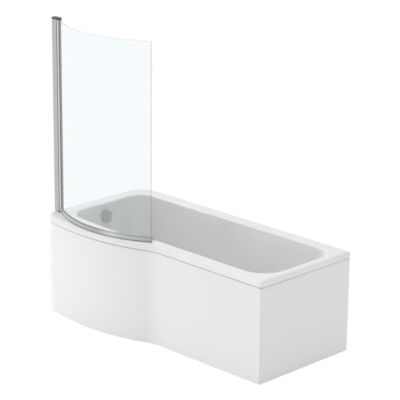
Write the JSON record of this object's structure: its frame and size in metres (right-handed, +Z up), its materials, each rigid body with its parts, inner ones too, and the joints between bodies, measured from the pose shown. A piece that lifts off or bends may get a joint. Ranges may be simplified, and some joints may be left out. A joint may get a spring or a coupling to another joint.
{
  "type": "p shaped shower bath",
  "caption": "P-shaped shower bath with panels, adjustable leg frame, pop-up waste worked by a turning overflow knob, and a curved glass screen hinged on a wall post.",
  "frame": {"origin": "centre of the outer box at floor level", "axes": "+X from the shower end to the narrow end, +Y to the back wall, +Z up"},
  "size_m": [1.7, 0.836, 1.76],
  "materials": {
    "acrylic": "polished white acrylic, raw laminate beneath",
    "panel": "gloss white sheet",
    "laminate": "encapsulated board, coarse laminate",
    "timber": "planed softwood",
    "zinc": "bright zinc plate",
    "chrome": "polished plate",
    "silver": "satin silver",
    "glass": "clear toughened",
    "seal_black": "moulded",
    "seal_grey": "soft extruded",
    "black_plastic": "moulded",
    "grey_plastic": "moulded"
  },
  "bodies": {
    "bath": {"bath_shell": "acrylic", "base_board": "laminate", "back_rim_batten": "laminate", "front_rim_batten": "laminate", "leg_rail_left": "zinc", "leg_rail_right": "zinc", "centre_leg_plate": "zinc", "leg_studs": "zinc", "leg_nuts": "zinc", "foot_pads": "black_plastic", "rail_screws": "zinc", "wall_brackets": "zinc", "bracket_screws": "zinc", "front_panel": "panel", "end_panel": "panel", "panel_clips": "grey_plastic", "front_floor_batten": "timber", "end_floor_batten": "timber", "waste_flange": "chrome", "waste_seals": "seal_black", "waste_body": "black_plastic", "overflow_body": "black_plastic", "overflow_seal": "seal_black", "overflow_plate": "chrome", "overflow_hose": "grey_plastic", "hose_nuts": "black_plastic", "control_cable": "seal_black", "wall_channel": "silver", "hinge_post": "silver", "post_screws": "zinc", "post_cap": "black_plastic", "post_foot": "black_plastic", "pivot_pins": "zinc"},
    "knob": {"overflow_knob": "chrome", "knob_spindle": "chrome"},
    "plug": {"waste_plug": "chrome", "plug_stem": "chrome", "plug_seal": "seal_black"},
    "screen": {"pivot_tube": "silver", "glass_panel": "glass", "glazing_gasket": "seal_black", "bottom_rail": "silver", "drip_seal": "seal_grey", "rail_end_cap": "black_plastic"}
  },
  "joints": [
    {"name": "screen_hinge", "type": "hinge", "parent": "bath", "child": "screen", "pos_m": [-0.802, -0.279, 0.6], "axis": [0, 0, 1], "range_deg": [-75, 50]},
    {"name": "knob_turn", "type": "hinge", "parent": "bath", "child": "knob", "pos_m": [-0.7448, 0.018, 0.512], "axis": [0.9889, 0, 0.1483], "range_deg": [0, 90]},
    {"name": "plug_lift", "type": "slide", "parent": "bath", "child": "plug", "axis": [0, 0, 1], "range_m": [0, 0.01]}
  ],
  "couplings": [
    {"joint": "plug_lift", "follows": "knob_turn", "m_per_rad": 0.00636}
  ]
}
